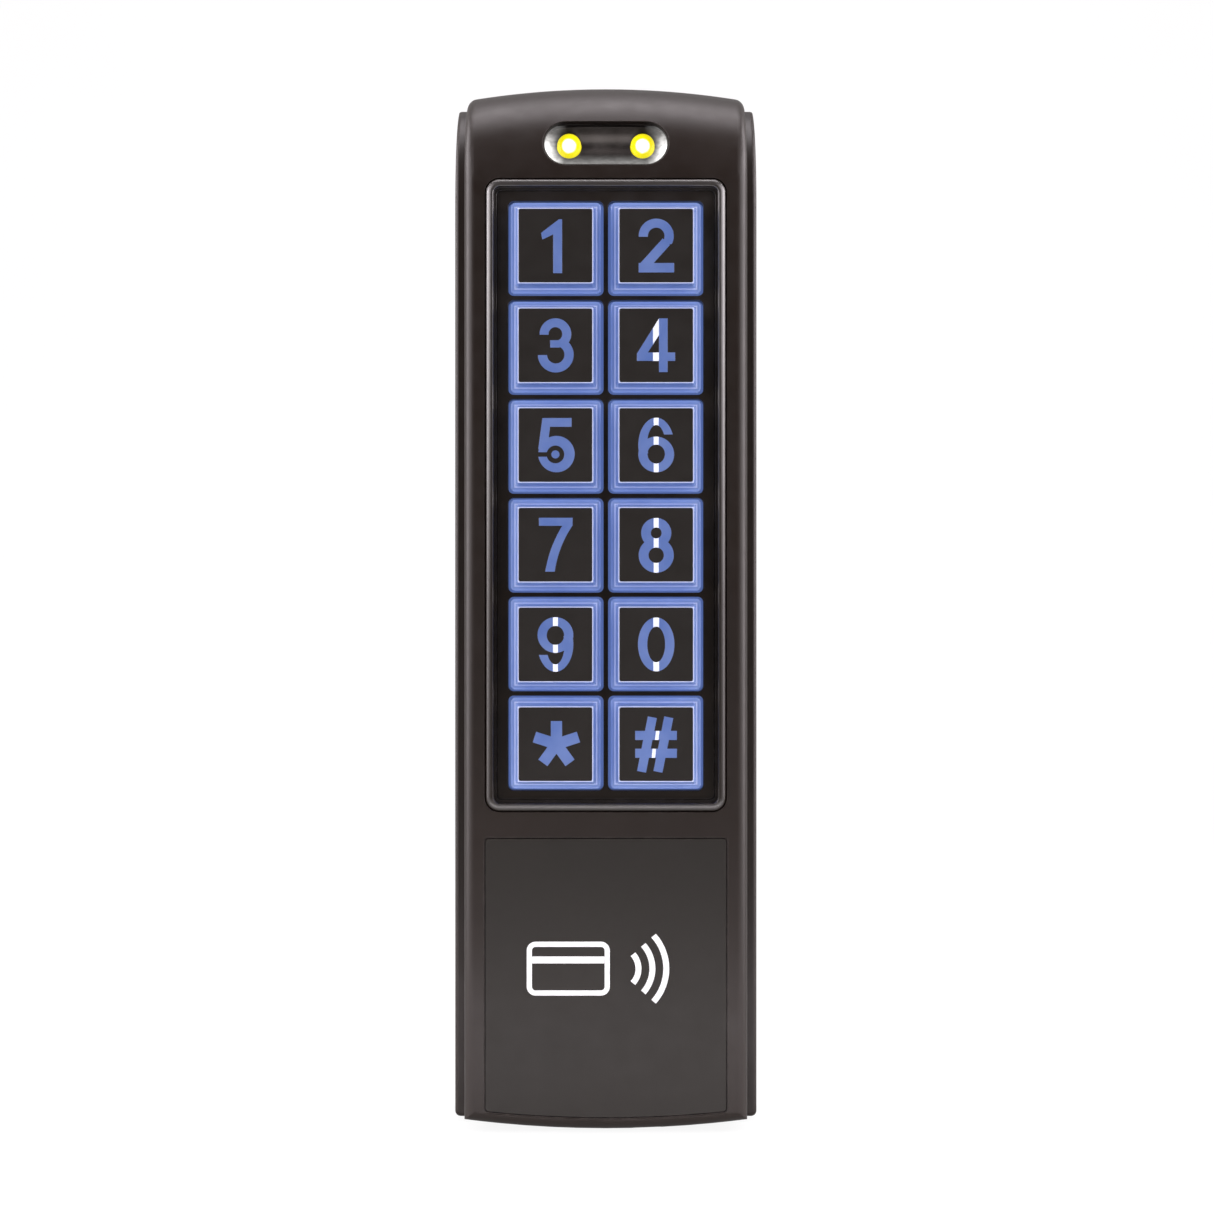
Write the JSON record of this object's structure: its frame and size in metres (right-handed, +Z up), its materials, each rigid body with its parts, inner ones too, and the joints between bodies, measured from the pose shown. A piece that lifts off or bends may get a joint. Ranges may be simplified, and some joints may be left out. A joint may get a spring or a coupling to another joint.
{
  "type": "keypad access reader",
  "caption": "Wall-mounted access card reader with a two-column push-button keypad, status lights and a hinged cover.",
  "frame": {"origin": "on the back face that lies on the wall, midway between the two fixing holes", "axes": "+Z up along the reader's height, +Y into the wall, -Y out of the front, +X to the viewer's right"},
  "size_m": [0.0444, 0.025, 0.152],
  "materials": {
    "shell_plastic": "fine satin moulded plastic, warm black",
    "label_plastic": "smooth satin panel, warm charcoal",
    "black_rubber": "matt",
    "grey_silicone": "milky translucent silicone",
    "carbon_pill": "carbon-filled rubber",
    "lamp_chip": "small lamp with clear top",
    "bright_black": "bright moulded, mirror-like",
    "led_lens": "lit yellow lens",
    "board_green": "solder mask over glass-fibre board",
    "screw_steel": "zinc-plated",
    "chip_black": "moulded package",
    "can_metal": "drawn can",
    "former_plastic": "natural plastic",
    "copper_wire": "enamelled copper winding",
    "terminal_green": "moulded",
    "spring_steel": "bright wire",
    "brass": "turned and knurled",
    "key_blue": "translucent violet-blue key moulding",
    "cap_dark": "satin dark insert"
  },
  "bodies": {
    "base": {"base_housing": "shell_plastic", "base_gasket": "black_rubber", "cable_grommet": "black_rubber"},
    "front": {"front_cover": "shell_plastic", "keypad_bezel": "shell_plastic", "dome_mat": "grey_silicone", "contact_pills": "carbon_pill", "backlight_leds": "lamp_chip", "label_panel": "label_plastic", "led_reflector": "bright_black", "status_led_left": "led_lens", "status_led_right": "led_lens", "main_pcb": "board_green", "pcb_screws": "screw_steel", "microcontroller": "chip_black", "rf_transceiver": "chip_black", "crystal": "can_metal", "smd_parts": "chip_black", "buzzer": "chip_black", "antenna_former": "former_plastic", "antenna_coil": "copper_wire", "terminal_block": "terminal_green", "terminal_screws": "screw_steel", "tamper_switch": "chip_black", "tamper_spring": "spring_steel", "lock_insert": "brass"},
    "tamper_plunger": {"tamper_plunger": "former_plastic"},
    "lock_screw": {"lock_screw": "screw_steel"},
    "key_1_button": {"key_1": "key_blue", "key_cap_1": "cap_dark"},
    "key_2_button": {"key_2": "key_blue", "key_cap_2": "cap_dark"},
    "key_3_button": {"key_3": "key_blue", "key_cap_3": "cap_dark"},
    "key_4_button": {"key_4": "key_blue", "key_cap_4": "cap_dark"},
    "key_5_button": {"key_5": "key_blue", "key_cap_5": "cap_dark"},
    "key_6_button": {"key_6": "key_blue", "key_cap_6": "cap_dark"},
    "key_7_button": {"key_7": "key_blue", "key_cap_7": "cap_dark"},
    "key_8_button": {"key_8": "key_blue", "key_cap_8": "cap_dark"},
    "key_9_button": {"key_9": "key_blue", "key_cap_9": "cap_dark"},
    "key_0_button": {"key_0": "key_blue", "key_cap_0": "cap_dark"},
    "key_star_button": {"key_star": "key_blue", "key_cap_star": "cap_dark"},
    "key_hash_button": {"key_hash": "key_blue", "key_cap_hash": "cap_dark"}
  },
  "joints": [
    {"name": "front_swing", "type": "hinge", "parent": "base", "child": "front", "pos_m": [0, -0.0048, 0.0732], "axis": [-1, 0, 0], "range_deg": [0, 50]},
    {"name": "lock_screw_drive", "type": "slide", "parent": "front", "child": "lock_screw", "axis": [0, 0, -1], "range_m": [0, 0.0019], "stiffness_N_per_m": 800},
    {"name": "tamper_press", "type": "slide", "parent": "front", "child": "tamper_plunger", "axis": [0, -1, 0], "range_m": [0, 0.0012], "stiffness_N_per_m": 250, "deforming": ["tamper_spring"]},
    {"name": "key_1_press", "type": "slide", "parent": "front", "child": "key_1_button", "axis": [0, 1, 0], "range_m": [0, 0.001], "stiffness_N_per_m": 900, "deforming": ["dome_mat"]},
    {"name": "key_2_press", "type": "slide", "parent": "front", "child": "key_2_button", "axis": [0, 1, 0], "range_m": [0, 0.001], "stiffness_N_per_m": 900, "deforming": ["dome_mat"]},
    {"name": "key_3_press", "type": "slide", "parent": "front", "child": "key_3_button", "axis": [0, 1, 0], "range_m": [0, 0.001], "stiffness_N_per_m": 900, "deforming": ["dome_mat"]},
    {"name": "key_4_press", "type": "slide", "parent": "front", "child": "key_4_button", "axis": [0, 1, 0], "range_m": [0, 0.001], "stiffness_N_per_m": 900, "deforming": ["dome_mat"]},
    {"name": "key_5_press", "type": "slide", "parent": "front", "child": "key_5_button", "axis": [0, 1, 0], "range_m": [0, 0.001], "stiffness_N_per_m": 900, "deforming": ["dome_mat"]},
    {"name": "key_6_press", "type": "slide", "parent": "front", "child": "key_6_button", "axis": [0, 1, 0], "range_m": [0, 0.001], "stiffness_N_per_m": 900, "deforming": ["dome_mat"]},
    {"name": "key_7_press", "type": "slide", "parent": "front", "child": "key_7_button", "axis": [0, 1, 0], "range_m": [0, 0.001], "stiffness_N_per_m": 900, "deforming": ["dome_mat"]},
    {"name": "key_8_press", "type": "slide", "parent": "front", "child": "key_8_button", "axis": [0, 1, 0], "range_m": [0, 0.001], "stiffness_N_per_m": 900, "deforming": ["dome_mat"]},
    {"name": "key_9_press", "type": "slide", "parent": "front", "child": "key_9_button", "axis": [0, 1, 0], "range_m": [0, 0.001], "stiffness_N_per_m": 900, "deforming": ["dome_mat"]},
    {"name": "key_0_press", "type": "slide", "parent": "front", "child": "key_0_button", "axis": [0, 1, 0], "range_m": [0, 0.001], "stiffness_N_per_m": 900, "deforming": ["dome_mat"]},
    {"name": "key_star_press", "type": "slide", "parent": "front", "child": "key_star_button", "axis": [0, 1, 0], "range_m": [0, 0.001], "stiffness_N_per_m": 900, "deforming": ["dome_mat"]},
    {"name": "key_hash_press", "type": "slide", "parent": "front", "child": "key_hash_button", "axis": [0, 1, 0], "range_m": [0, 0.001], "stiffness_N_per_m": 900, "deforming": ["dome_mat"]}
  ]
}
